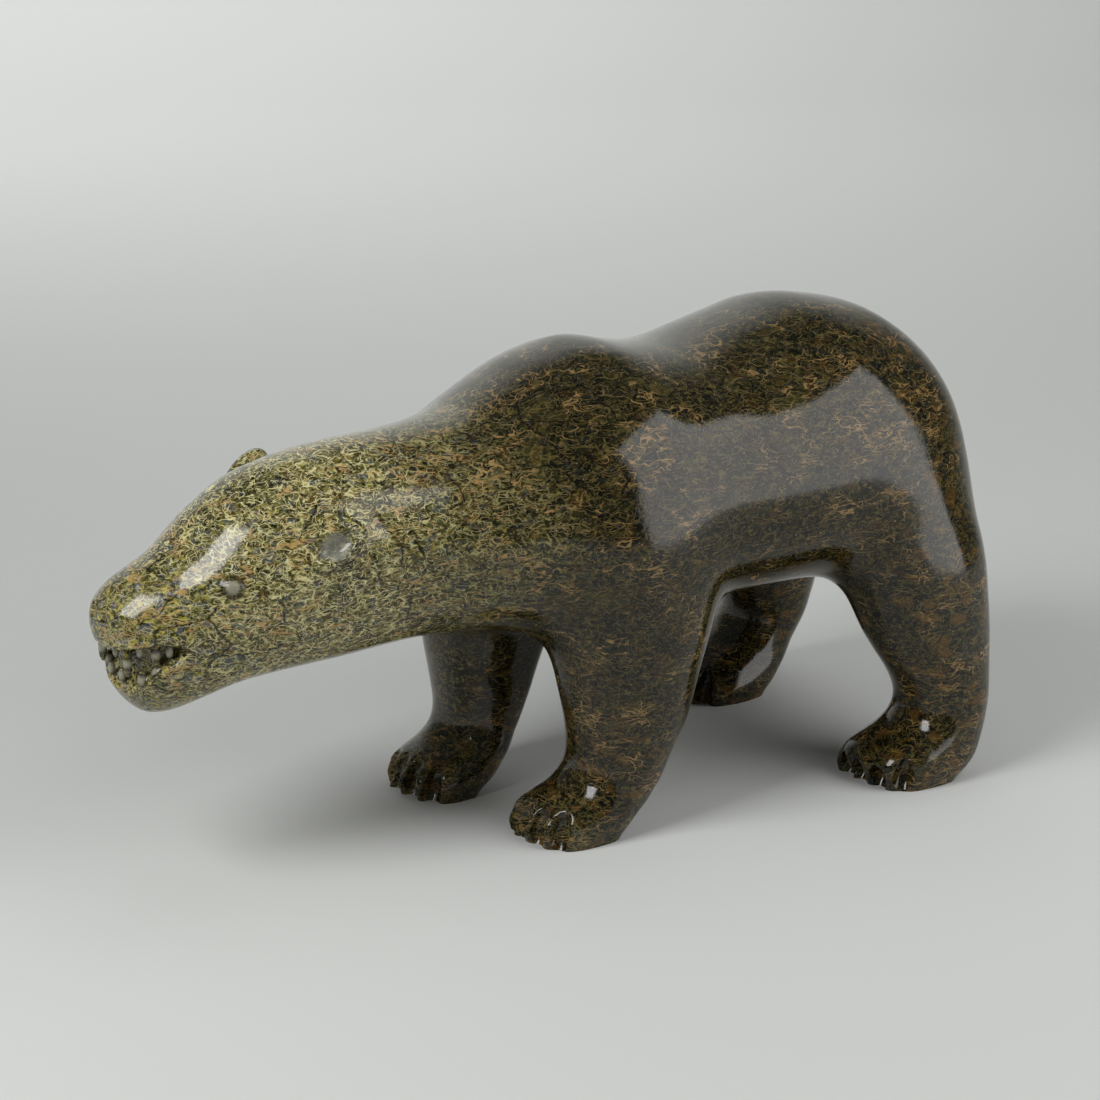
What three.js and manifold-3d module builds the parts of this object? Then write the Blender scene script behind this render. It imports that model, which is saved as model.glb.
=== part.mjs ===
// A walking bear carved from one block of green serpentine, the stone sold as soapstone.
// Millimetres, +Z up. The bear walks towards -X and its left side faces -Y. It is shaped about the
// middle of its trunk, then moved so that the origin is under the middle of the whole carving.
import * as THREE from "three";
import { mergeVertices } from "three/addons/utils/BufferGeometryUtils.js";
import Module from "manifold-3d";

// ---- Driving dimensions ------------------------------------------------------------------------

const BLEND = 26; // how far a leg flows into the trunk
const FULLNESS = 2.15; // 2 is an ellipse; a little more makes a fuller section
const SQUARENESS = 1.5; // what is added to that down at the paws
const SPLAY = 0.15; // how far the front of a paw recedes for each millimetre to the left
const PAW_TOP = 32; // below this height the sections turn from round to square
const SHIN = 60; // height from which a leg follows its shin's place
const THIGH = [85, 175]; // heights between which it returns to its place in the trunk

// The trunk, neck and head, from the tip of the nose to the rump. Each row is a section across the
// bear: where it stands, the heights of its crest, widest point and keel, its half width, and how far
// it is off the middle, because the bear turns its head a little to the right.
const TRUNK = [
  [-282.5, 152, 146, 140, 2, 8],
  [-279, 159, 144.5, 130.5, 18, 8],
  [-271, 164, 141, 103.5, 27, 7],
  [-260, 170, 140, 94.5, 33, 6],
  [-246, 177, 142, 95, 37, 5],
  [-222, 198, 150, 103, 44, 3],
  [-195, 213, 158, 106.5, 49, 2],
  [-150, 221, 163, 109, 52, 0],
  [-115, 221.5, 165, 111.5, 57, 0],
  [-80, 224, 166, 110, 70, 0],
  [-48, 236.5, 169, 105, 86, 0],
  [-18, 250, 172, 102, 92, 0],
  [4, 255, 172, 102, 93, 0],
  [30, 249, 172, 104, 93, 0],
  [60, 245, 173, 106, 95, 0],
  [115, 256, 174, 107, 100, 0],
  [143, 262, 172, 107, 100, 0],
  [172, 257, 166, 107, 97, 0],
  [208, 236, 160, 107, 79, 0],
  [235, 160, 150, 140, 1, 0],
];

// A leg is a stack of level sections: height, front, back, and how far its inner and outer sides are
// from the middle of the bear.
const FORE_LEG = [
  [-8, -61, -32, 34, 75],
  [8, -71, -11, 26, 84],
  [18, -62, 0, 25, 85],
  [29, -44, 10, 27, 86],
  [42, -39, 17, 28, 87],
  [58, -41, 26, 28, 89],
  [85, -46, 34, 22, 93],
  [120, -50, 42, 16, 98],
  [160, -52, 44, 10, 92],
  [195, -36, 24, 20, 70],
];
const HIND_LEG = [
  [-8, 142, 174, 60, 106],
  [8, 132, 196, 53, 116],
  [18, 133, 205, 56, 117],
  [29, 154, 210, 60, 117],
  [42, 163, 213, 60, 116],
  [60, 155, 215, 58, 115],
  [85, 141, 219, 50, 112],
  [120, 130, 219, 36, 110],
  [160, 118, 210, 20, 98],
  [200, 130, 190, 20, 70],
];

// The four legs. side is -1 on the left. foot and shin say how far each is moved along the bear,
// inward how far the foot is set in, and slim how much thinner the leg is, front and back. toes is
// where the fan of claws starts, before the foot is moved.
const LEGS = [
  { table: FORE_LEG, side: -1, foot: 0, shin: 0, inward: 0, slim: 0, toes: [-6, -46] },
  { table: FORE_LEG, side: 1, foot: -26, shin: -28, inward: 16, slim: 5, toes: [0, 50] },
  { table: HIND_LEG, side: -1, foot: 0, shin: 0, inward: 0, slim: 0, toes: [199, -80] },
  { table: HIND_LEG, side: 1, foot: -10, shin: 9, inward: 0, slim: 0, toes: [199, 94] },
];

// Four gouge strokes part the five claws of a paw.
const GOUGE = { between: [-8.5, 2, 14.5, 28], reach: 63.5, height: 6, size: [15.5, 5.7, 6], rise: 62 };

// The mouth, open in a snarl: a wedge from its round corner to the front of the muzzle.
const MOUTH = { corner: -257, lip: 139, cornerRadius: 5, jaw: [-280, 112], depth: 6, front: -265 };
// Teeth stand on an arch about a point of the mid-line. turn is each tooth's angle from straight ahead.
const TEETH = {
  upper: { arch: [21.5, 26], root: 134, size: 4, length: 7, turn: [0, 19, 42, 63, 84, 104] },
  lower: { arch: [14.5, 24], root: 118, size: 4, length: 6, turn: [12, 38, 64, 88] },
};
const CANINE = { turn: 42, size: 5, length: 12 };

const EYE = { place: [-228.5, -36.5, 166.5], out: [-0.45, -0.84, 0.3], along: [1, -0.45, 0] };
// The right ear stands higher than the left and points up more.
const EARS = [
  { place: [-175, -43.5, 181], out: [-0.3, -0.9, 0.3], along: [1, -0.2, 0.45] },
  { place: [-178, 44, 197], out: [-0.2, 0.8, 0.55], along: [1, 0.2, 0.8] },
];
const NOSTRIL = { place: [-283, 1, 151], size: [4, 3.2, 3] };
const TAIL = { place: [227.5, 0, 190], size: [18, 11, 10], along: [0.12, 0, -1] };

// Grid lines that the surface is sampled on, as runs of [from, step]: close at the muzzle and the
// paws, wider on the trunk. They start and end more than a step away from the stone.
const GRID = [
  [[-299, 8], [-235, 11.5], [-180, 13.5], [262]],
  [[-138, 12.5], [138]],
  [[-25, 9], [47, 13], [290]],
];

// ---- The rough shape, as a field that is negative inside the stone -------------------------------

// Reads one column of a table of sections at a place along it, on a curve that never overshoots.
function curve(table, column) {
  const at = table.map((row) => row[0]);
  const value = table.map((row) => row[column]);
  const slope = at.slice(1).map((x, i) => (value[i + 1] - value[i]) / (x - at[i]));
  const tangent = at.map((_, i) => {
    const before = slope[Math.max(i - 1, 0)];
    const after = slope[Math.min(i, slope.length - 1)];
    return before * after <= 0 ? 0 : (2 * before * after) / (before + after);
  });
  return (x) => {
    if (x <= at[0]) return value[0];
    const i = at.findIndex((start) => start > x) - 1;
    if (i < 0) return value[value.length - 1];
    const span = at[i + 1] - at[i];
    const t = (x - at[i]) / span;
    const s = 1 - t;
    return (
      value[i] * (1 + 2 * t) * s * s +
      value[i + 1] * (1 + 2 * s) * t * t +
      span * t * s * (tangent[i] * s - tangent[i + 1] * t)
    );
  };
}

// How far a point is outside a section, along the line from the section's middle.
function outside(u, v, reachU, reachV, fullness) {
  const distance = Math.hypot(u, v);
  if (distance < 1e-6) return -Math.min(reachU, reachV);
  const share = Math.abs(u / reachU) ** fullness + Math.abs(v / reachV) ** fullness;
  return distance * (1 - share ** (-1 / fullness));
}

const clamp = THREE.MathUtils.clamp;
const smooth = THREE.MathUtils.smoothstep;
const [noseTip, rump] = [TRUNK[0][0], TRUNK[TRUNK.length - 1][0]];
// Reaches are read from a curve of their squares, so that both ends close as round as an egg.
const TRUNK_SQUARED = TRUNK.map(([x, crest, middle, keel, half, off]) => [
  x, (crest - middle) ** 2, middle, (middle - keel) ** 2, half ** 2, off,
]);
const [crestAt, middleAt, keelAt, halfAt, offAt] = [1, 2, 3, 4, 5].map((c) => curve(TRUNK_SQUARED, c));
const halfWidth = (x) => Math.sqrt(halfAt(x));

function trunkField(x, y, z) {
  const at = clamp(x, noseTip, rump);
  const rise = z - middleAt(at);
  const reach = Math.sqrt(rise > 0 ? crestAt(at) : keelAt(at));
  const section = outside(y - offAt(at), rise, halfWidth(at), reach, FULLNESS);
  return x === at ? section : Math.hypot(x - at, Math.max(section, 0));
}

function legField({ table, side, foot, shin, inward, slim }) {
  const [front, back, inner, outer] = [1, 2, 3, 4].map((c) => curve(table, c));
  const [low, high] = [table[0][0], table[table.length - 1][0]];
  return (x, y, z) => {
    const at = clamp(z, low, high);
    const lower = 1 - smooth(at, ...THIGH);
    const moved = lower * (foot + (shin - foot) * smooth(at, 0, SHIN));
    const middleX = (front(at) + back(at)) / 2 + moved;
    const middleY = side * ((inner(at) + outer(at)) / 2 - inward * lower);
    const reachX = (back(at) - front(at)) / 2 - slim * lower;
    const reachY = (outer(at) - inner(at)) / 2;
    const fullness = FULLNESS + SQUARENESS * Math.max(0, 1 - at / PAW_TOP);
    const splay = SPLAY * (1 - smooth(at, 0, PAW_TOP)) * (y - middleY);
    const section = outside(x - middleX + splay, y - middleY, reachX, reachY, fullness);
    return z === at ? section : Math.hypot(z - at, Math.max(section, 0));
  };
}

// Joins two fields with a fillet of the given reach.
function joined(a, b, reach) {
  const h = Math.max(reach - Math.abs(a - b), 0) / reach;
  return Math.min(a, b) - (h * h * h * reach) / 6;
}

// The field's change along each axis at a point where its value is f.
function slopeOf(field, point, f) {
  const step = 0.05;
  return point.map((_, d) => (field(...point.map((x, i) => (i === d ? x + step : x))) - f) / step);
}

// Divides a field by its slope where it is steep, so that its value is close to a distance.
function evened(field) {
  return (...point) => {
    const f = field(...point);
    return f / Math.max(1, Math.hypot(...slopeOf(field, point, f)));
  };
}

const evenTrunk = evened(trunkField);
const legFields = LEGS.map(legField);
const bearField = (x, y, z) =>
  legFields.reduce((field, leg) => joined(field, leg(x, y, z), BLEND), evenTrunk(x, y, z));

// ---- From the field to a closed mesh ---------------------------------------------------------------

function gridLines(runs) {
  const at = runs.slice(1).flatMap(([to], i) => {
    const [from, step] = runs[i];
    const count = Math.round((to - from) / step);
    return Array.from({ length: count }, (_, n) => from + ((to - from) * n) / count);
  });
  return [...at, runs[runs.length - 1][0]];
}

// Surface nets: one vertex in each grid cell that the surface crosses, one quad across each grid edge.
function netOf(field, grid) {
  const size = grid.map((lines) => lines.length);
  const index = (i, j, k) => i + size[0] * (j + size[1] * k);
  const values = new Float64Array(size[0] * size[1] * size[2]);
  const vertexOf = new Int32Array(values.length).fill(-1);
  const points = [];
  const quads = [];
  const everyCell = (first, visit) => {
    for (let k = first; k < size[2] - 1; k++)
      for (let j = first; j < size[1] - 1; j++)
        for (let i = first; i < size[0] - 1; i++) visit(i, j, k);
  };
  grid[2].forEach((z, k) =>
    grid[1].forEach((y, j) => grid[0].forEach((x, i) => (values[index(i, j, k)] = field(x, y, z)))),
  );
  const corners = [0, 1, 2, 3, 4, 5, 6, 7].map((c) => [c & 1, (c >> 1) & 1, (c >> 2) & 1]);
  const edges = corners.flatMap((_, a) => [1, 2, 4].filter((bit) => !(a & bit)).map((bit) => [a, a | bit]));
  everyCell(0, (i, j, k) => {
    const cell = [i, j, k];
    const v = corners.map(([a, b, c]) => values[index(i + a, j + b, k + c)]);
    const crossed = edges.filter(([a, b]) => v[a] < 0 !== v[b] < 0);
    if (!crossed.length) return;
    const share = [0, 1, 2].map(
      (d) =>
        crossed.reduce((sum, [a, b]) => {
          const t = v[a] / (v[a] - v[b]);
          return sum + corners[a][d] + t * (corners[b][d] - corners[a][d]);
        }, 0) / crossed.length,
    );
    vertexOf[index(i, j, k)] = points.length;
    points.push(cell.map((n, d) => grid[d][n] + share[d] * (grid[d][n + 1] - grid[d][n])));
  });
  const unit = [[1, 0, 0], [0, 1, 0], [0, 0, 1]];
  everyCell(1, (i, j, k) => {
    const inside = values[index(i, j, k)] < 0;
    unit.forEach((along, d) => {
      const next = values[index(i + along[0], j + along[1], k + along[2])] < 0;
      if (inside === next) return;
      const [u, v] = [unit[(d + 1) % 3], unit[(d + 2) % 3]];
      const quad = [[0, 0], [1, 0], [1, 1], [0, 1]].map(
        ([a, b]) => vertexOf[index(i - a * u[0] - b * v[0], j - a * u[1] - b * v[1], k - a * u[2] - b * v[2])],
      );
      quads.push(inside ? quad : quad.reverse());
    });
  });
  return { points, quads };
}

// Moves a point along the field's slope onto the surface.
function onSurface(field, point) {
  let p = point;
  for (let n = 0; n < 3; n++) {
    const f = field(...p);
    const slope = slopeOf(field, p, f);
    const length2 = slope.reduce((sum, g) => sum + g * g, 0);
    if (length2 < 1e-9) return p;
    p = p.map((x, d) => x - (f * slope[d]) / length2);
  }
  return p;
}

// Evens the net out while it stays on the surface.
function settled({ points, quads }, field, rounds = 4) {
  const near = points.map(() => new Set());
  quads.forEach((q) => q.forEach((a, i) => near[a].add(q[(i + 1) % 4]).add(q[(i + 3) % 4])));
  let places = points;
  for (let round = 0; round < rounds; round++)
    places = places.map((p, i) => {
      const around = [...near[i]];
      const mean = p.map((_, d) => around.reduce((sum, n) => sum + places[n][d], 0) / around.length);
      return onSurface(field, p.map((x, d) => (x + mean[d]) / 2));
    });
  return { points: places, quads };
}

// Splits each quad along its shorter diagonal.
function geometryOf({ points, quads }) {
  const distance = (a, b) => Math.hypot(...points[a].map((x, d) => x - points[b][d]));
  const triangles = quads.flatMap(([a, b, c, d]) =>
    distance(a, c) < distance(b, d) ? [a, b, c, a, c, d] : [a, b, d, b, c, d],
  );
  return new THREE.BufferGeometry()
    .setAttribute("position", new THREE.Float32BufferAttribute(points.flat(), 3))
    .setIndex(triangles);
}

// ---- Joining and cutting -----------------------------------------------------------------------------

const wasm = await Module();
wasm.setup();

function solidOf(geometry) {
  const bare = geometry.clone();
  bare.deleteAttribute("normal");
  bare.deleteAttribute("uv");
  const merged = mergeVertices(bare, 1e-3);
  return new wasm.Manifold(
    new wasm.Mesh({
      numProp: 3,
      vertProperties: merged.attributes.position.array,
      triVerts: new Uint32Array(merged.index.array),
    }),
  );
}

function geometryFrom(solid) {
  const mesh = solid.getMesh();
  return new THREE.BufferGeometry()
    .setAttribute("position", new THREE.BufferAttribute(mesh.vertProperties, 3))
    .setIndex(new THREE.BufferAttribute(mesh.triVerts, 1));
}

const together = (solids) => solids.reduce((all, solid) => all.add(solid));

// A stretched ball. size holds its half lengths along a direction, across it, and along out.
function ball(place, size, along, out, sides = 10) {
  const x = new THREE.Vector3(...along).normalize();
  const z = new THREE.Vector3(...out).addScaledVector(x, -x.dot(new THREE.Vector3(...out))).normalize();
  const y = new THREE.Vector3().crossVectors(z, x);
  const turned = new THREE.Matrix4().makeBasis(x, y, z).setPosition(...place);
  const shape = new THREE.SphereGeometry(1, sides, Math.ceil(sides * 0.6));
  return solidOf(shape.rotateZ(Math.PI / 2).scale(...size).applyMatrix4(turned));
}

// The same thing on the left and, mirrored in the middle of the head, on the right.
function bothSides(make, { place, out, along }) {
  const [x, y, z] = place;
  const flip = ([a, b, c]) => [a, -b, c];
  return [make(place, out, along), make([x, 2 * offAt(x) - y, z], flip(out), flip(along))];
}

const shifted = (place, direction, amount) => {
  const unit = new THREE.Vector3(...direction).normalize();
  return new THREE.Vector3(...place).addScaledVector(unit, amount).toArray();
};

// ---- The carving ---------------------------------------------------------------------------------------

// Strokes run up a paw from between the claws, each ending in a point on top of it.
function gouges({ foot, toes }) {
  const rise = THREE.MathUtils.degToRad(GOUGE.rise);
  return GOUGE.between.map((degrees) => {
    const turn = THREE.MathUtils.degToRad(degrees);
    const ahead = [-Math.cos(turn), -Math.sin(turn)];
    const place = [
      toes[0] + foot + GOUGE.reach * ahead[0],
      toes[1] + GOUGE.reach * ahead[1],
      GOUGE.height,
    ];
    const up = [-Math.cos(rise) * ahead[0], -Math.cos(rise) * ahead[1], Math.sin(rise)];
    return ball(place, GOUGE.size, up, [...ahead, 1], 8);
  });
}

// The hollow between the lips: a wedge seen from the side, less the core of the muzzle seen from above.
function mouthHollow() {
  const { corner, lip, cornerRadius, jaw, depth, front } = MOUTH;
  const beyond = noseTip - 10;
  const wedge = new THREE.Shape()
    .moveTo(beyond, lip - 1)
    .lineTo(corner, lip)
    .absarc(corner, lip - cornerRadius, cornerRadius, Math.PI / 2, -Math.PI / 4, true)
    .lineTo(...jaw)
    .lineTo(beyond, jaw[1]);
  const across = new THREE.ExtrudeGeometry(wedge, { depth: 120, bevelEnabled: false, curveSegments: 4 });
  across.translate(0, 0, -60).rotateX(Math.PI / 2);
  const steps = [0, 0.08, 0.25, 0.5, 0.75, 1].map((t) => front + t * (corner + 15 - front));
  const wall = (x) => (halfWidth(x) - depth) * Math.sqrt(smooth(x, front - 4, front + 8));
  const core = new THREE.Shape([
    ...steps.map((x) => new THREE.Vector2(x, offAt(x) - wall(x))),
    ...steps.reverse().map((x) => new THREE.Vector2(x, offAt(x) + wall(x))),
  ]);
  const inner = new THREE.ExtrudeGeometry(core, { depth: 60, bevelEnabled: false }).translate(0, 0, 90);
  return solidOf(across).subtract(solidOf(inner));
}

function teeth() {
  const centre = [MOUTH.corner, offAt(MOUTH.corner)];
  return Object.entries(TEETH).flatMap(([jaw, { arch, root, size, length, turn }]) => {
    const down = jaw === "upper" ? -1 : 1;
    return turn.flatMap((degrees) =>
      (degrees ? [-1, 1] : [1]).map((side) => {
        const angle = THREE.MathUtils.degToRad(degrees);
        const canine = degrees === CANINE.turn;
        const wide = canine ? CANINE.size : size;
        const ahead = arch[0] * Math.cos(angle);
        const place = [
          centre[0] - ahead,
          centre[1] + side * arch[1] * Math.sin(angle),
          root + (jaw === "lower" ? 0.45 * (arch[0] - ahead) : 0),
        ];
        return ball(place, [canine ? CANINE.length : length, wide, wide], [0, 0, down], [1, 0, 0], 6);
      }),
    );
  });
}

const eyeSockets = bothSides((place, out, along) => ball(place, [8, 3.4, 2.4], along, out), EYE);
const eyeballs = bothSides(
  (place, out, along) => ball(shifted(place, out, -1.2), [4.6, 2.7, 2.6], along, out, 8), EYE,
);
const ears = EARS.map(({ place, out, along }) => ball(place, [17.5, 12, 9], along, out, 14));
const earPits = EARS.map(({ place, out, along }) =>
  ball(shifted(place, out, 8), [12, 6.5, 7], along, out, 12),
);
const nostrils = bothSides(
  (place, out, along) => ball(place, NOSTRIL.size, along, out, 6),
  { place: NOSTRIL.place, out: [-1, -0.3, 0], along: [0, -0.5, 1] },
);
const tail = ball(TAIL.place, TAIL.size, TAIL.along, [1, 0, 0]);
const ground = solidOf(new THREE.BoxGeometry(700, 400, 60).translate(0, 0, -30));

const rough = solidOf(geometryOf(settled(netOf(bearField, GRID.map(gridLines)), bearField)));
const stone = together([rough, ...ears, tail])
  .subtract(together([mouthHollow(), ...eyeSockets, ...earPits, ...nostrils]))
  .add(together([...teeth(), ...eyeballs]))
  .subtract(together([...LEGS.flatMap(gouges), ground]));

const serpentine = new THREE.MeshStandardMaterial({ color: 0x3c3c26, roughness: 0.25, metalness: 0 });
const bear = new THREE.Mesh(geometryFrom(stone), serpentine);
bear.name = "bear";

const carving = new THREE.Group();
carving.add(bear);
const middle = new THREE.Box3().setFromObject(bear).getCenter(new THREE.Vector3());
bear.position.set(-middle.x, -middle.y, 0);

export default carving;
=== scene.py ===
# %% [markdown]
# # A walking bear in polished serpentine
# The real object is one block of green serpentine, the stone that is sold as soapstone. It was
# sawn and ground to a walking bear, cut with a few simple tools at the face and the paws, and then
# sanded and waxed until it shone. This notebook takes the plain solid of the bear as its block,
# rounds it, carves it again with finer tools, and gives it the stone's own pattern.

# %% The frame
import math

import bpy
from mathutils import Matrix, Vector


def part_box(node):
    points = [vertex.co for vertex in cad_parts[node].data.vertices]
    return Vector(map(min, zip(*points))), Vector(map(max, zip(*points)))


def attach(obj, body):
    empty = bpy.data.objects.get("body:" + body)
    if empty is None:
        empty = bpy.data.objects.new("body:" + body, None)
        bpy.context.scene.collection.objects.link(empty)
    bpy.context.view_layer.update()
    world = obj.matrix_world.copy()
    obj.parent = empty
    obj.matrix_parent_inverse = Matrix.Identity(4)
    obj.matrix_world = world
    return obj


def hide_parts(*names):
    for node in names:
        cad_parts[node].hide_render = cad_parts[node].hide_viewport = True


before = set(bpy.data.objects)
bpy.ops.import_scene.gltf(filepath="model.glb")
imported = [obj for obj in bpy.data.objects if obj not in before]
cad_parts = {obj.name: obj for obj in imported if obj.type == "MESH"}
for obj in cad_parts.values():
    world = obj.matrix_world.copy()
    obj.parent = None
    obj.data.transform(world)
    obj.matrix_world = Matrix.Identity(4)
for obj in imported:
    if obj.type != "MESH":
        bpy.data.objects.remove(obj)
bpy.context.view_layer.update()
MM = 0.001

# %% [markdown]
# Every place below is given in millimetres on the bear itself: x runs from the nose, which is at
# -282.5, to the rump, y from its left side, which is negative, to its right, and z up from the table.
# The bear faces a little to its right, so the middle of the head is not the middle of the body.

# %% Places on the bear
NOSE_TIP = -282.5
nose_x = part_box("bear")[0].x / MM - NOSE_TIP


def on_bear(x, y, z):
    """A place on the bear, from millimetres on the carving to metres in the frame."""
    return Vector(((x + nose_x), y, z)) * MM


def head_middle(x):
    """How far the middle of the head is to the right at x."""
    return 8 * max(0.0, min(1.0, (-150 - x) / 133)) ** 1.5


print("the nose is at", [round(c / MM, 1) for c in on_bear(NOSE_TIP, 0, 150)], "mm in the frame")

# %% [markdown]
# ## The camera
# The bear is seen from in front of its left shoulder and from a little above, with a long lens, as
# an object on a table is usually shown.

# %% The camera
CAMERA = {"azimuth": -33, "elevation": 17.5, "distance": 1.7, "lens": 100.7}
LOOK_AT = on_bear(0, 27, 130)


def towards(azimuth, elevation):
    """A direction: azimuth 0 is towards the bear's left side and 90 is behind it, in degrees."""
    turn, rise = math.radians(azimuth), math.radians(elevation)
    return Vector((math.sin(turn) * math.cos(rise), -math.cos(turn) * math.cos(rise), math.sin(rise)))


def aimed_at(thing, place):
    """Turns a camera or a light so that it looks at a place."""
    thing.rotation_euler = (place - thing.location).to_track_quat("-Z", "Y").to_euler()


bpy.ops.object.camera_add(
    location=LOOK_AT + CAMERA["distance"] * towards(CAMERA["azimuth"], CAMERA["elevation"])
)
camera = bpy.context.object
camera.name = "camera"
camera.data.sensor_width = 36
camera.data.lens = CAMERA["lens"]
aimed_at(camera, LOOK_AT)
bpy.context.scene.camera = camera
print("camera at", [round(c, 3) for c in camera.location], "m")

# %% [markdown]
# ## Tools for modelling
# An operator works on what is selected, and the frame comes in selected, so the first helper picks
# one object and nothing else. The second adds a modifier and applies it, the third joins objects, and
# the fourth cuts one with another.

# %% Helpers


def only(*things):
    """Selects these objects and makes the first one active."""
    if bpy.context.object and bpy.context.object.mode != "OBJECT":
        bpy.ops.object.mode_set(mode="OBJECT")
    bpy.ops.object.select_all(action="DESELECT")
    for thing in things:
        thing.select_set(True)
    bpy.context.view_layer.objects.active = things[0]


def worked(piece, kind, **settings):
    """Adds a modifier with these settings and applies it."""
    only(piece)
    bpy.ops.object.modifier_add(type=kind)
    modifier = piece.modifiers[-1]
    for name, value in settings.items():
        setattr(modifier, name, value)
    bpy.ops.object.modifier_apply(modifier=modifier.name)


def joined(*things):
    """Joins objects into the first one, each still its own closed shell."""
    only(*things)
    if len(things) > 1:
        bpy.ops.object.join()
    return things[0]


def cut_from(piece, tool, operation="DIFFERENCE"):
    """Cuts a tool's shape out of a piece, or joins it on, and puts the tool away."""
    worked(piece, "BOOLEAN", operation=operation, solver="MANIFOLD", object=tool)
    bpy.data.objects.remove(tool)


# %% [markdown]
# ## The rough block
# A carver starts from a block that already has the bear's outline. Here that is a copy of the plain
# solid, whose triangles stand loose, so they are merged first. The soles are pulled down through
# the table, so that rounding the stone doesn't round them. They are cut level again at the end.

# %% The block
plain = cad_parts["bear"]
bear = bpy.data.objects.new("bear_carving", plain.data.copy())
bpy.context.scene.collection.objects.link(bear)
only(bear)
bpy.ops.object.mode_set(mode="EDIT")
bpy.ops.mesh.select_all(action="SELECT")
bpy.ops.mesh.remove_doubles(threshold=0.01 * MM)
bpy.ops.object.mode_set(mode="OBJECT")
print("block:", len(bear.data.vertices), "vertices")

# %% The soles, pulled down
SOLE_DEPTH = 9
only(bear)
bpy.ops.object.mode_set(mode="EDIT")
bpy.ops.mesh.select_all(action="DESELECT")
bpy.ops.object.mode_set(mode="OBJECT")
for face in bear.data.polygons:
    face.select = face.normal.z < -0.99 and face.center.z < 0.2 * MM
print("sole faces:", sum(face.select for face in bear.data.polygons))
bpy.ops.object.mode_set(mode="EDIT")
bpy.ops.mesh.select_mode(type="FACE")
bpy.ops.mesh.extrude_region_move(TRANSFORM_OT_translate={"value": (0, 0, -SOLE_DEPTH * MM)})
bpy.ops.object.mode_set(mode="OBJECT")

# %% [markdown]
# A grinder leaves no flat facets. Most of the block's triangles are halves of squares, so they are
# made squares again, and two rounds of subdivision turn the squares into one smooth skin.

# %% Grinding the facets away
only(bear)
bpy.ops.object.mode_set(mode="EDIT")
bpy.ops.mesh.select_all(action="SELECT")
bpy.ops.mesh.tris_convert_to_quads(face_threshold=math.radians(60), shape_threshold=math.radians(60))
bpy.ops.object.mode_set(mode="OBJECT")
worked(bear, "SUBSURF", levels=2, render_levels=2)
print("smooth block:", len(bear.data.vertices), "vertices")

# %% [markdown]
# The mouth is cut anew below, so the muzzle is closed first with its own convex hull. Both shells
# are then remeshed as one, with small even squares, and lightly relaxed where they met.

# %% The muzzle, closed
MUZZLE_END = -247
EVEN_MESH = 2.2
muzzle = bpy.data.objects.new("muzzle", bear.data.copy())
bpy.context.scene.collection.objects.link(muzzle)
only(muzzle)
bpy.ops.object.mode_set(mode="EDIT")
bpy.ops.mesh.select_all(action="SELECT")
bpy.ops.mesh.bisect(plane_co=on_bear(MUZZLE_END, 0, 0), plane_no=(1, 0, 0), clear_outer=True)
bpy.ops.mesh.select_all(action="SELECT")
bpy.ops.mesh.convex_hull()
bpy.ops.object.mode_set(mode="OBJECT")
muzzle_shape = muzzle.data.copy()
joined(bear, muzzle)
worked(bear, "REMESH", mode="VOXEL", voxel_size=EVEN_MESH * MM)
worked(bear, "SMOOTH", factor=0.5, iterations=8)
worked(bear, "SMOOTH", factor=-0.5, iterations=5)
print("rounded block:", len(bear.data.vertices), "vertices")

# %% [markdown]
# ## Cutting tools
# Nearly every mark on the bear was left by a round burr or a small grinding wheel, so nearly every
# tool here starts as a ball, stretched along one direction and pressed flat along another. A mark
# on the head is made on the left and again on the right, mirrored in the middle of the head.

# %% The burr


def burr(place, half, out, along, sides=32):
    """A stretched ball. half holds its half lengths along, across and out, in millimetres."""
    x = Vector(along).normalized()
    z = (Vector(out) - x * x.dot(Vector(out))).normalized()
    turned = Matrix((x, z.cross(x), z)).transposed()
    bpy.ops.mesh.primitive_uv_sphere_add(
        segments=sides,
        ring_count=sides // 2,
        location=on_bear(*place),
        rotation=turned.to_euler(),
        scale=[length * MM for length in half],
    )
    bpy.ops.object.transform_apply()
    return bpy.context.object


def moved(place, direction, distance):
    """A place moved along a direction, in millimetres."""
    return Vector(place) + Vector(direction).normalized() * distance


def both_sides(place, half, out, along, sides=32):
    """The same burr on the left of the head and on its right."""
    x, y, z = place
    flip = Vector((1, -1, 1))
    left = burr(place, half, out, along, sides)
    right = burr(
        (x, 2 * head_middle(x) - y, z), half, Vector(out) * flip, Vector(along) * flip, sides
    )
    return [left, right]


# %% [markdown]
# ## The ears
# Each ear is a low oval cup. The carver left a swelling of stone on the side of the head, ground a
# hollow into it, and took the stone away behind it, so that only its back and upper rim stand out.
# The swelling is joined on first and hollowed next. The right ear stands higher and shows over the
# top of the head.

# %% The ears
EARS = [
    {"place": (-174, -43.5, 180), "out": (-0.3, -0.9, 0.3), "along": (1, -0.2, 0.62)},
    {"place": (-178, 44, 197), "out": (-0.2, 0.8, 0.55), "along": (1, 0.2, 0.8)},
]
EAR_SWELLING = (17, 11.5, 8.5)
EAR_HOLLOW = (12.5, 6.6, 7)
HOLLOW_OUT = 8.2
NAPE = {"place": (-152, -51, 190), "half": (13, 8, 5), "out": (-0.1, -0.9, 0.35), "along": (1, 0, -0.5)}

for ear in EARS:
    cut_from(bear, burr(ear["place"], EAR_SWELLING, ear["out"], ear["along"]), "UNION")
for ear in EARS:
    hollow_at = moved(ear["place"], ear["out"], HOLLOW_OUT)
    cut_from(bear, burr(hollow_at, EAR_HOLLOW, ear["out"], ear["along"]))
for nape in both_sides(**NAPE):
    cut_from(bear, nape)
print("two ears, each", [round(2 * half) for half in EAR_SWELLING[:2]], "mm")

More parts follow.
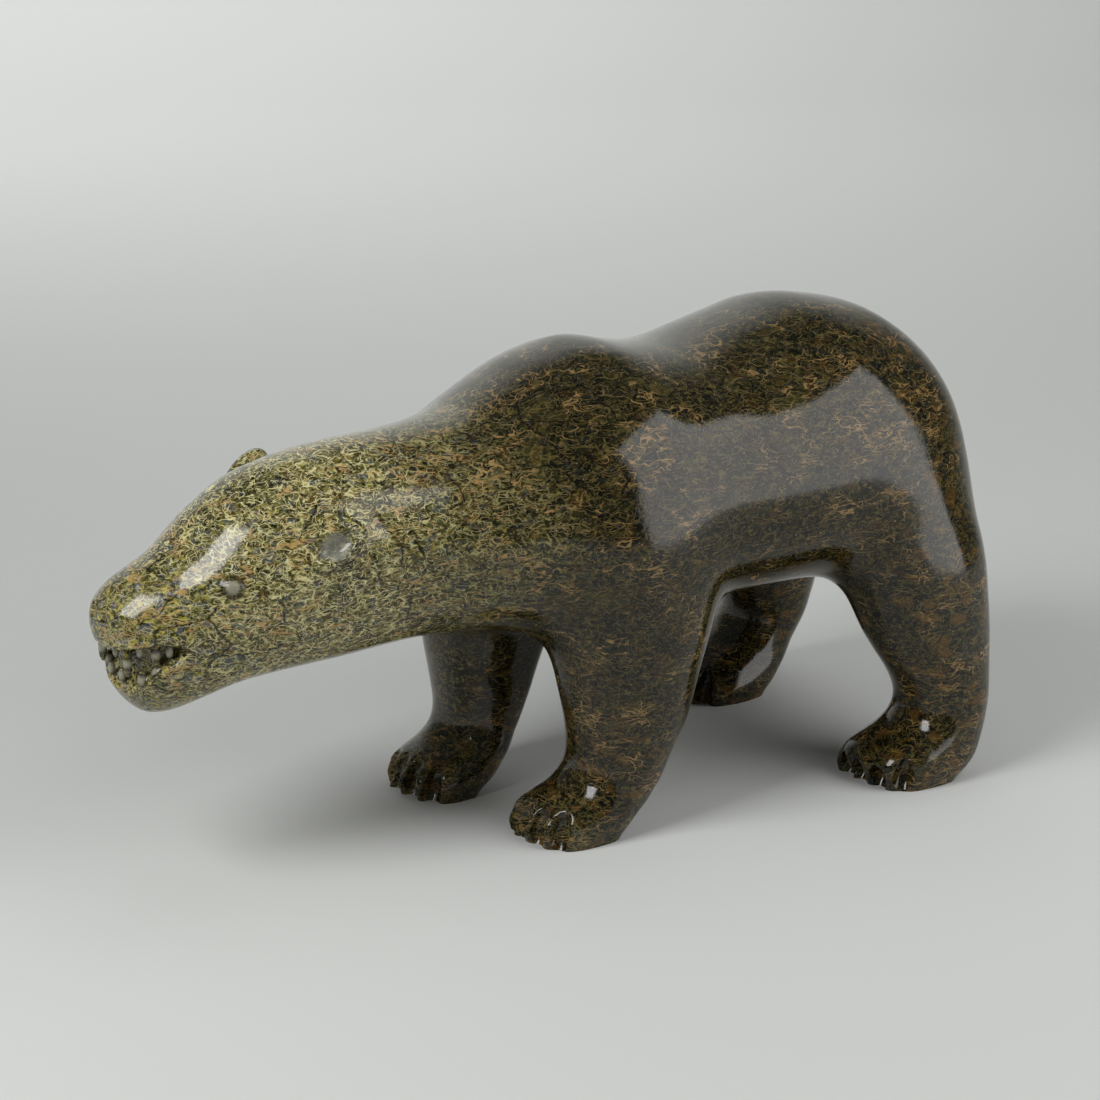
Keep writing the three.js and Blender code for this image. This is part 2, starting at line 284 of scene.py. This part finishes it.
# %% [markdown]
# ## The eyes
# An eye is an almond cut round with the edge of a small wheel. What is left in the middle is the
# eyeball, about level with the cheek around it.

# %% The eyes
EYE = {"place": (-228, -36.8, 166.5), "out": (-0.45, -0.84, 0.3), "along": (1, -0.45, 0)}
EYE_SOCKET = (9.2, 4.6, 3.0)
EYEBALL = (6.0, 3.0, 2.4)
EYEBALL_DEPTH = 1.8

for socket in both_sides(EYE["place"], EYE_SOCKET, EYE["out"], EYE["along"]):
    cut_from(bear, socket)
eyeball_at = moved(EYE["place"], EYE["out"], -EYEBALL_DEPTH)
for eyeball in both_sides(eyeball_at, EYEBALL, EYE["out"], EYE["along"]):
    cut_from(bear, eyeball, "UNION")
print("eyes at", [round(c) for c in EYE["place"]])

# %% [markdown]
# ## The nose
# Two upright slots for the nostrils, with a shallow groove behind each that sets the pad of the
# nose off from the muzzle, and a notch under it down to the lip.

# %% The nose
NOSTRIL = {"place": (-282, 1.5, 150.5), "half": (6, 2.0, 3.4), "out": (-1, -0.4, 0), "along": (0, -0.15, 1)}
WING = {"place": (-280.2, -9.2, 150), "half": (8, 2.6, 2.2), "out": (-0.7, -0.7, 0), "along": (-0.1, 0, 1)}
NOTCH = {"place": (-284, 8, 142), "half": (8, 1.4, 2.4), "out": (-1, 0, -0.3), "along": (0.1, 0, 1)}
for mark in (NOSTRIL, WING):
    for cut in both_sides(**mark):
        cut_from(bear, cut)
cut_from(bear, burr(**NOTCH))
print("nose: two nostrils, two grooves and a notch")

# %% [markdown]
# ## The mouth
# The mouth is open in a snarl. Seen from the side it is a wedge that opens forwards from a round
# corner. Seen from above it is only a deep channel round the muzzle, because the middle of the
# muzzle stays solid behind the teeth. So the tool is a wedge, drawn as a flat outline and extruded
# across the head, less a narrower copy of the muzzle.

# %% The wedge
WEDGE = [
    (-300, 133), (-280, 134), (-275, 136.3), (-260, 138.7), (-253, 137.8), (-250, 134.2),
    (-253, 130.6), (-259, 127), (-265, 122), (-269, 115.6), (-273, 109.8), (-285, 108.6), (-300, 109),
]  # fmt: skip
MOUTH_WIDTH = 110
bpy.ops.mesh.primitive_circle_add(vertices=len(WEDGE), fill_type="NGON")
wedge = bpy.context.object
for vertex, (x, z) in zip(wedge.data.vertices, WEDGE):
    vertex.co = on_bear(x, -MOUTH_WIDTH / 2, z)
bpy.ops.object.mode_set(mode="EDIT")
bpy.ops.mesh.select_all(action="SELECT")
bpy.ops.mesh.extrude_region_move(TRANSFORM_OT_translate={"value": (0, MOUTH_WIDTH * MM, 0)})
bpy.ops.mesh.select_all(action="SELECT")
bpy.ops.mesh.normals_make_consistent(inside=False)
bpy.ops.object.mode_set(mode="OBJECT")

# %% The stone behind the teeth
CHANNEL = 8.5
HALF_MUZZLE = 30
core = bpy.data.objects.new("core", muzzle_shape)
bpy.context.scene.collection.objects.link(core)
only(core)
middle_y = head_middle(-265)
narrower = 1 - CHANNEL / HALF_MUZZLE
bpy.ops.transform.resize(value=(1, narrower, 1), center_override=on_bear(0, middle_y, 0))
bpy.ops.transform.translate(value=(CHANNEL * MM, 0, 0))
bpy.ops.object.transform_apply()
cut_from(wedge, core)
cut_from(bear, wedge)
print("mouth cut:", len(bear.data.vertices), "vertices")

# %% [markdown]
# ## The teeth
# The teeth are round pegs, left standing in the channel with gaps between them. No two are alike, so
# each has a row of its own: where it stands, half its width, and half its height. The long fang
# near the front joins both jaws.

# %% The teeth
TEETH = [
    ((-275.2, 0.8, 131.8), 2.0, 4.6),
    ((-273.0, -7.4, 127.0), 2.5, 8.0),
    ((-272.4, 0.8, 118.4), 2.2, 4.2),
    ((-269.0, -13.4, 134.0), 2.1, 4.4),
    ((-268.0, -12.6, 119.0), 2.5, 5.2),
    ((-262.6, -18.2, 132.6), 2.7, 6.6),
    ((-256.8, -21.9, 134.2), 2.2, 4.6),
    ((-262.0, -17.6, 123.2), 2.1, 3.8),
]
for place, half_width, half_height in TEETH:
    for tooth in both_sides(place, (half_height, half_width, half_width), (-1, 0, 0), (0, 0, 1), 24):
        cut_from(bear, tooth, "UNION")
print(2 * len(TEETH), "teeth")

# %% [markdown]
# ## The paws
# Four strokes of a round file run up the front of each paw, fanned out from a place under the leg.
# The ridges left between them are the claws, and where they meet the table they end in points.

# %% The claws
FANS = [(-6, -46), (-26, 50), (199, -80), (189, 94)]
STROKES = {"turns": (-8.5, 2, 14.5, 28), "reach": 62.9, "height": 6, "rise": 62}
STROKE = (16, 5.6, 6.1)

for fan_x, fan_y in FANS:
    for degrees in STROKES["turns"]:
        turn, rise = math.radians(degrees), math.radians(STROKES["rise"])
        ahead = Vector((-math.cos(turn), -math.sin(turn), 0))
        place = Vector((fan_x, fan_y, STROKES["height"])) + STROKES["reach"] * ahead
        up = -math.cos(rise) * ahead + Vector((0, 0, math.sin(rise)))
        cut_from(bear, burr(place, STROKE, ahead + Vector((0, 0, 1)), up))
print(4 * len(STROKES["turns"]), "strokes between the claws")

# %% [markdown]
# ## Sanding and polishing
# Sanding softens every edge by about a millimetre. The carving is remeshed once more with small
# squares, relaxed a little, and then thinned where it is nearly flat, which keeps its small forms.
# Last, it is cut level at the table.

# %% Sanding
FINEST = 1.1
MOST_TRIANGLES = 190_000
worked(bear, "REMESH", mode="VOXEL", voxel_size=FINEST * MM)
worked(bear, "SMOOTH", factor=0.5, iterations=4)
worked(bear, "TRIANGULATE")
triangles = len(bear.data.polygons)
worked(bear, "DECIMATE", ratio=min(1, MOST_TRIANGLES / triangles))
print("sanded:", triangles, "triangles, kept", len(bear.data.polygons))

# %% Level soles
only(bear)
bpy.ops.object.mode_set(mode="EDIT")
bpy.ops.mesh.select_all(action="SELECT")
bpy.ops.mesh.bisect(plane_co=(0, 0, 0), plane_no=(0, 0, 1), clear_inner=True, use_fill=True, threshold=1e-6)
bpy.ops.mesh.quads_convert_to_tris()
bpy.ops.object.mode_set(mode="OBJECT")
bpy.ops.object.shade_smooth_by_angle(angle=math.radians(40))

# %% [markdown]
# ## Backdrop and lights
# The bear stands on a roll of pale paper that curves up behind it. Two softboxes light it: one
# beside it, whose reflection lies across the polished flank, and one in front of its nose. A third
# hangs above, and is kept out of the reflections, as a scrim over a table would be. A last lamp faces
# away from the bear and lights the paper behind it. The room itself is nearly dark, because polished
# dark stone mirrors whatever is around it.

# %% The paper
PAPER_WIDTH = 16
PAPER_FRONT = 7
PAPER_BACK = 4
PAPER_HEIGHT = 4
PAPER_CURVE = 1.6
PAPER_COLOUR = (0.58, 0.59, 0.575, 1)
away = towards(CAMERA["azimuth"] + 180, 0)
bpy.ops.mesh.primitive_plane_add(size=1)
paper = bpy.context.object
paper.name = "paper"
for corner in paper.data.vertices:
    corner.co.x *= PAPER_WIDTH
    corner.co.y = PAPER_BACK if corner.co.y > 0 else -PAPER_FRONT


def select_back_edge():
    """Selects the edges that run across the paper at its back, on the floor."""
    bpy.ops.object.mode_set(mode="EDIT")
    bpy.ops.mesh.select_mode(type="EDGE")
    bpy.ops.mesh.select_all(action="DESELECT")
    bpy.ops.object.mode_set(mode="OBJECT")
    for edge in paper.data.edges:
        ends = [paper.data.vertices[end].co for end in edge.vertices]
        edge.select = all(end.y > PAPER_BACK - 0.01 and end.z < 0.01 for end in ends)
    bpy.ops.object.mode_set(mode="EDIT")


select_back_edge()
bpy.ops.mesh.extrude_region_move(TRANSFORM_OT_translate={"value": (0, 0, PAPER_HEIGHT)})
select_back_edge()
bpy.ops.mesh.bevel(offset=PAPER_CURVE, segments=24, profile=0.5)
bpy.ops.object.mode_set(mode="OBJECT")
print("paper", [round(side, 2) for side in paper.dimensions], "m")
paper.rotation_euler.z = math.radians(CAMERA["azimuth"])
only(paper)
bpy.ops.object.transform_apply()
bpy.ops.object.shade_smooth()

# %% The paper's finish
pale = bpy.data.materials.new("pale_paper")
pale.use_nodes = True
paper_shader = pale.node_tree.nodes["Principled BSDF"]
paper_shader.inputs["Base Color"].default_value = PAPER_COLOUR
paper_shader.inputs["Roughness"].default_value = 0.9
paper_shader.inputs["Specular IOR Level"].default_value = 0.1
paper.data.materials.append(pale)

# %% The lamps
LAMPS = {
    "beside": {"azimuth": 38, "elevation": 26, "distance": 1.25, "size": (1.05, 1.75), "glow": 2.6},
    "in_front": {"azimuth": -86, "elevation": 38, "distance": 1.5, "size": (0.7, 0.8), "glow": 9.33},
    "above": {"azimuth": 130, "elevation": 74, "distance": 1.8, "size": (1.5, 1.5), "glow": 0.81},
}
BEHIND = {"away": 1.6, "leftwards": 1.3, "up": 2.4, "aimed_down": 0.6, "size": (3.6, 1.2), "glow": 7.6}


def lamp(name, place, aim, size, glow, mirrored=True):
    """An area lamp whose glow is its brightness as seen, where 1 is white."""
    bpy.ops.object.light_add(type="AREA", location=place)
    light = bpy.context.object
    light.name = name
    light.data.shape = "RECTANGLE"
    light.data.size, light.data.size_y = size
    light.data.energy = glow * math.pi * size[0] * size[1]
    light.visible_camera = False
    light.visible_glossy = mirrored
    aimed_at(light, aim)
    print(name, "lamp,", round(light.data.energy, 1), "W")


flank = on_bear(60, -80, 170)
for name, at in LAMPS.items():
    place = flank + at["distance"] * towards(at["azimuth"], at["elevation"])
    lamp(name, place, flank, at["size"], at["glow"], mirrored=name != "above")
leftwards = towards(CAMERA["azimuth"] - 90, 0)
behind = away * BEHIND["away"] + leftwards * BEHIND["leftwards"] + Vector((0, 0, BEHIND["up"]))
aim = behind + away - Vector((0, 0, BEHIND["aimed_down"]))
lamp("behind", behind, aim, BEHIND["size"], BEHIND["glow"])

room = bpy.data.worlds.new("room")
bpy.context.scene.world = room
room.use_nodes = True
room.node_tree.nodes["Background"].inputs["Color"].default_value = (0.95, 1, 0.97, 1)
room.node_tree.nodes["Background"].inputs["Strength"].default_value = 0.091
bpy.context.scene.view_settings.view_transform = "Standard"

# %% [markdown]
# ## The stone
# Serpentine is a felt of fine mineral fibres. Pale tan fibres lie in every direction over olive and
# almost black grains. Long thin orange veins run along the block, close to level, and there are
# patches of slate blue and yellow green, most of all on the muzzle, and of rusty brown. The head of
# this bear came out of the pale end of the block. Each of these is a small pattern made from the
# place in the block, so that it runs through the whole carving as it does through a real stone, and
# they are laid over each other in turn.

# %% Tools for the stone
stone = bpy.data.materials.new("serpentine")
stone.use_nodes = True
nodes, links = stone.node_tree.nodes, stone.node_tree.links
shader = nodes["Principled BSDF"]


def node(kind, **settings):
    """A new node. Settings are its options, or the values of its inputs, or links into them."""
    made = nodes.new(kind)
    for name, value in settings.items():
        if hasattr(made, name):
            setattr(made, name, value)
            continue
        socket = made.inputs[name.replace("_", " ")]
        if isinstance(value, bpy.types.NodeSocket):
            links.new(value, socket)
        else:
            socket.default_value = value
    return made


def math_of(operation, a, b=0.0, clamp=False):
    """One sum on two numbers or sockets."""
    made = nodes.new("ShaderNodeMath")
    made.operation = operation
    made.use_clamp = clamp
    for socket, value in zip(made.inputs, (a, b)):
        if isinstance(value, bpy.types.NodeSocket):
            links.new(value, socket)
        else:
            socket.default_value = value
    return made.outputs[0]


def times(a, b):
    """The product of two numbers or sockets."""
    return math_of("MULTIPLY", a, b)


def fade(value, start, end):
    """0 before start, 1 after end, and a smooth step between."""
    made = node("ShaderNodeMapRange", interpolation_type="SMOOTHSTEP", Value=value)
    made.inputs["From Min"].default_value = start
    made.inputs["From Max"].default_value = end
    return made.outputs["Result"]


def shifted_by(place, stretch, offset=(0, 0, 0), turn=(0, 0, 0)):
    """The same places, turned, moved and stretched, so that no two patterns line up."""
    made = node("ShaderNodeMapping", vector_type="POINT", Vector=place)
    made.inputs["Location"].default_value = offset
    made.inputs["Rotation"].default_value = [math.radians(angle) for angle in turn]
    made.inputs["Scale"].default_value = stretch
    return made.outputs["Vector"]


def clouds(place, size, detail=2.0, roughness=0.5, warp=0.0):
    """Soft noise with lumps of the given size in millimetres, from 0 to 1."""
    made = node("ShaderNodeTexNoise", Vector=place, Scale=1 / size, Detail=detail)
    made.inputs["Roughness"].default_value = roughness
    made.inputs["Distortion"].default_value = warp
    return made.outputs["Fac"]


def cracks(place, size, width):
    """Thin lines between grains of the given size, all in millimetres: 1 on a line, 0 off it."""
    made = node("ShaderNodeTexVoronoi", feature="DISTANCE_TO_EDGE", Vector=place, Scale=1 / size)
    off_line = fade(made.outputs["Distance"], 0.15 * width / size, width / size)
    return math_of("SUBTRACT", 1.0, off_line)


def ridges(place, size, width, detail=2.0):
    """Long wavy lines, where soft noise passes its middle value."""
    noise = clouds(place, size, detail)
    off_middle = math_of("ABSOLUTE", math_of("SUBTRACT", noise, 0.5))
    return math_of("SUBTRACT", 1.0, fade(off_middle, 0.0, width / size))


def near(places, inner, outer):
    """1 within the inner distance of any of these places on the bear, 0 beyond the outer one."""
    nearest = 1000.0
    for place in places:
        apart = node("ShaderNodeVectorMath", operation="DISTANCE")
        links.new(millimetres, apart.inputs[0])
        apart.inputs[1].default_value = on_bear(*place) / MM
        nearest = math_of("MINIMUM", apart.outputs["Value"], nearest)
    return math_of("SUBTRACT", 1.0, fade(nearest, inner, outer))


def laid_over(below, colour, mask):
    """A colour over what is below, where the mask is 1."""
    made = nodes.new("ShaderNodeMix")
    made.data_type = "RGBA"
    for name, value in (("Factor_Float", mask), ("A_Color", below), ("B_Color", colour)):
        socket = next(s for s in made.inputs if s.identifier == name)
        if isinstance(value, bpy.types.NodeSocket):
            links.new(value, socket)
        else:
            socket.default_value = value if name == "Factor_Float" else (*value, 1)
    return next(s for s in made.outputs if s.identifier == "Result_Color")


# %% Where in the block
# Everything below is measured in millimetres. The places are bent a little by soft noise, which
# bends the fibres as well.
place_in_block = node("ShaderNodeTexCoord").outputs["Object"]
millimetres = shifted_by(place_in_block, (1000, 1000, 1000))
BEND = (9, 9, 6)
bend = node("ShaderNodeTexNoise", Vector=millimetres, Scale=1 / 9, Detail=2.0)
centred = node("ShaderNodeVectorMath", operation="SUBTRACT")
links.new(bend.outputs["Color"], centred.inputs[0])
centred.inputs[1].default_value = (0.5, 0.5, 0.5)
bent = node("ShaderNodeVectorMath", operation="MULTIPLY_ADD")
links.new(centred.outputs[0], bent.inputs[0])
bent.inputs[1].default_value = BEND
links.new(millimetres, bent.inputs[2])
grain_place = bent.outputs[0]
along = node("ShaderNodeSeparateXYZ", Vector=millimetres)
along_x, height = along.outputs["X"], along.outputs["Z"]
drift = times(math_of("SUBTRACT", clouds(millimetres, 60), 0.5), 120.0)
drifted_x = math_of("ADD", along_x, drift)
head_end = math_of("SUBTRACT", 1.0, fade(drifted_x, -125, -15))
muzzle_end = math_of("SUBTRACT", 1.0, fade(drifted_x, -240, -190))
tail_end = fade(drifted_x, 120, 235)
feet = math_of("SUBTRACT", 1.0, fade(math_of("ADD", height, times(drift, 0.4)), 15, 75))


def along_block(body, head, muzzle):
    """A strength that is one number at the muzzle, a second on the head and a third on the body."""
    on_head = math_of("ADD", body, times(head_end, head - body))
    return math_of("ADD", on_head, times(muzzle_end, muzzle - head))


# %% The grains
ALMOST_BLACK = (0.0035, 0.0038, 0.0020)
OLIVE = (0.028, 0.025, 0.0065)
MOSS = (0.075, 0.068, 0.018)
PALE_OLIVE = (0.21, 0.20, 0.07)
grains = clouds(grain_place, 2.6, detail=4.0, roughness=0.66)
patches = clouds(grain_place, 22, detail=2.0)
dark_body = laid_over(ALMOST_BLACK, OLIVE, fade(grains, 0.45, 0.60))
pale_body = laid_over(OLIVE, PALE_OLIVE, fade(grains, 0.42, 0.60))
colour = laid_over(dark_body, pale_body, times(head_end, 0.9))
colour = laid_over(colour, MOSS, times(fade(patches, 0.5, 0.66), 0.4))
for cloud_size, start, end, strength in ((34, 0.42, 0.58, 0.4), (8, 0.48, 0.60, 0.5)):
    cloud_place = shifted_by(grain_place, (1, 1, 1.4), offset=(9, cloud_size, 71))
    dark_clouds = fade(clouds(cloud_place, cloud_size, detail=3.0), start, end)
    colour = laid_over(colour, ALMOST_BLACK, times(dark_clouds, strength))

# %% Coloured patches
PATCHES = {
    "slate": {
        "colour": (0.075, 0.088, 0.105), "stretch": (1, 1, 1.7), "offset": (37, 11, 5), "size": 6,
        "from": 0.56, "to": 0.61, "body": 0.12, "head": 0.55, "muzzle": 0.9,
    },
    "yellow green": {
        "colour": (0.33, 0.28, 0.03), "stretch": (1, 1, 1.5), "offset": (-53, 71, 19), "size": 3.6,
        "from": 0.58, "to": 0.64, "body": 0.10, "head": 0.35, "muzzle": 0.8,
    },
}  # fmt: skip
for name, patch in PATCHES.items():
    patch_place = shifted_by(grain_place, patch["stretch"], offset=patch["offset"])
    spots = fade(clouds(patch_place, patch["size"], detail=3.0), patch["from"], patch["to"])
    strength = along_block(patch["body"], patch["head"], patch["muzzle"])
    colour = laid_over(colour, patch["colour"], times(spots, strength))
    print(name, "patches of about", patch["size"], "mm")
RUST = (0.13, 0.062, 0.010)
rust_place = shifted_by(grain_place, (1, 1, 1.6), offset=(13, -29, 83))
rust_mask = times(fade(clouds(rust_place, 11, detail=3.0), 0.52, 0.66), 0.75)
rusty = math_of("ADD", math_of("ADD", tail_end, feet), 0.35, clamp=True)
colour = laid_over(colour, RUST, times(rust_mask, rusty))

# %% The fibres
FIBRE_DARK_END = (0.27, 0.205, 0.068)
FIBRE_PALE_END = (0.64, 0.58, 0.29)
fibre_colour = laid_over(FIBRE_DARK_END, FIBRE_PALE_END, head_end)


def felt(size, width, stretch, turn, offset, gap_size, gap, strength):
    """A mesh of fibres between grains of this size, broken where soft noise is low."""
    lines = cracks(shifted_by(grain_place, stretch, offset=offset, turn=turn), size, width)
    holes = clouds(shifted_by(grain_place, (1, 1, 1.4), offset=offset[::-1]), gap_size, detail=3.0)
    return times(times(lines, fade(holes, gap, gap + 0.14)), strength)


felts = [
    felt(2.2, 0.27, (0.8, 0.9, 1.3), (12, 8, 20), (5, 91, 47), 2.6, 0.45, 0.75),
    felt(4.8, 0.30, (0.45, 0.6, 1.6), (-9, 13, 40), (61, 3, 29), 4.5, 0.43, 0.9),
    felt(5.8, 0.28, (1.2, 0.9, 0.7), (31, -24, 0), (-17, 53, 7), 6.0, 0.49, 0.8),
]
felt_mask = math_of("MAXIMUM", math_of("MAXIMUM", felts[0], felts[1]), felts[2])
felt_mask = times(felt_mask, along_block(0.55, 1.0, 0.65))
colour = laid_over(colour, fibre_colour, felt_mask)

# %% Long veins
VEIN = (0.42, 0.26, 0.10)
gap_place = shifted_by(millimetres, (1, 1, 1), offset=(3, 7, 61))
vein_gaps = fade(clouds(gap_place, 20, detail=2.0), 0.44, 0.58)
for vein_stretch, vein_turn, vein_size, vein_width in (
    ((0.22, 0.3, 1.0), (4, -7, 0), 13, 0.11),
    ((0.35, 0.35, 1.1), (-6, 18, 0), 11, 0.10),
    ((0.3, 0.3, 1.2), (5, -24, 0), 16, 0.12),
):
    vein_place = shifted_by(grain_place, vein_stretch, offset=(7, vein_size, 3), turn=vein_turn)
    veins = ridges(vein_place, vein_size, vein_width, detail=3.0)
    colour = laid_over(colour, VEIN, times(times(veins, vein_gaps), 0.85))

# %% Dark flaws and white flecks
# The flaw colour is also the dark laid round the eyes and the painted shade round the teeth.
FLAW_AND_SHADE = (0.003, 0.003, 0.002)
FLECK = (0.55, 0.53, 0.44)
flaw_place = shifted_by(grain_place, (0.5, 0.5, 1.0), offset=(-31, 47, 11), turn=(0, 25, 0))
flaws = times(cracks(flaw_place, 17, 0.5), fade(patches, 0.45, 0.55))
colour = laid_over(colour, FLAW_AND_SHADE, times(flaws, 0.8))
fleck_place = shifted_by(millimetres, (1, 1, 1), offset=(23, 5, 31))
flecks = fade(clouds(fleck_place, 1.3, detail=1.0), 0.76, 0.80)
colour = laid_over(colour, FLECK, times(flecks, 0.7))

# %% The darker body
# The body's colour is darkened by a fixed share, and the head's is not.
BODY_DARKENING = 0.4
HEAD_DARKENING = 0.0
colour = laid_over(colour, (0, 0, 0), along_block(BODY_DARKENING, HEAD_DARKENING, HEAD_DARKENING))

# %% [markdown]
# Round the eyes and the teeth the colour is darkened; round the teeth this is painted shade in the
# deep channel of the mouth. The eyeballs and the teeth are painted paler, a painted highlight on what
# stands proud, and the hollows of the ears get a pale grey, a painted reflection, and show few fibres.

# %% Eyes, teeth and ears
# A painted highlight colour for the eyeballs and teeth, and a painted reflection colour for the ear
# hollows.
PAINTED_HIGHLIGHT = (0.50, 0.48, 0.36)
PAINTED_EAR_REFLECTION = (0.30, 0.30, 0.26)


def and_mirrored(place):
    """A place on the left of the head and the same place on its right."""
    return [Vector(place), Vector((place[0], 2 * head_middle(place[0]) - place[1], place[2]))]


eye_places = and_mirrored(moved(EYE["place"], EYE["out"], 0.5))
tooth_places = [side for place, half_width, half_height in TEETH for side in and_mirrored(place)]
# Darkened round the eyes and painted shade round the teeth, then a painted highlight on the eyeballs and
# teeth.
for places, darkened_reach, highlight_reach, pale in (
    (eye_places, (5.6, 7.6), (2.2, 4.6), 0.45),
    (tooth_places, (3.6, 5.6), (2.0, 3.6), 0.5),
):
    colour = laid_over(colour, FLAW_AND_SHADE, times(near(places, *darkened_reach), 0.7))
    colour = laid_over(colour, PAINTED_HIGHLIGHT, times(near(places, *highlight_reach), pale))
ear_places = [moved(ear["place"], ear["out"], 3.5) for ear in EARS]
# A painted reflection in the hollows of the ears.
colour = laid_over(colour, PAINTED_EAR_REFLECTION, times(near(ear_places, 5.5, 9.0), 0.6))
links.new(colour, shader.inputs["Base Color"])

# %% [markdown]
# The polish is a coat of wax on fine-sanded stone: glossy, with the faintest waviness, and duller
# where a soft grain has worn a little lower than its neighbours.

# %% The polish
links.new(math_of("ADD", 0.09, times(felt_mask, 0.08)), shader.inputs["Roughness"])
shader.inputs["IOR"].default_value = 1.45
waviness = node("ShaderNodeBump", Strength=0.25, Distance=0.0002)
links.new(math_of("ADD", grains, times(clouds(millimetres, 14), 1.5)), waviness.inputs["Height"])
links.new(waviness.outputs["Normal"], shader.inputs["Normal"])
bear.data.materials.clear()
bear.data.materials.append(stone)
print("stone:", len(nodes), "nodes")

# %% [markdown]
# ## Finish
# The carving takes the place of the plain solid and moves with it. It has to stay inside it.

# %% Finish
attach(bear, "root")
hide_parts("bear")
bpy.context.view_layer.update()
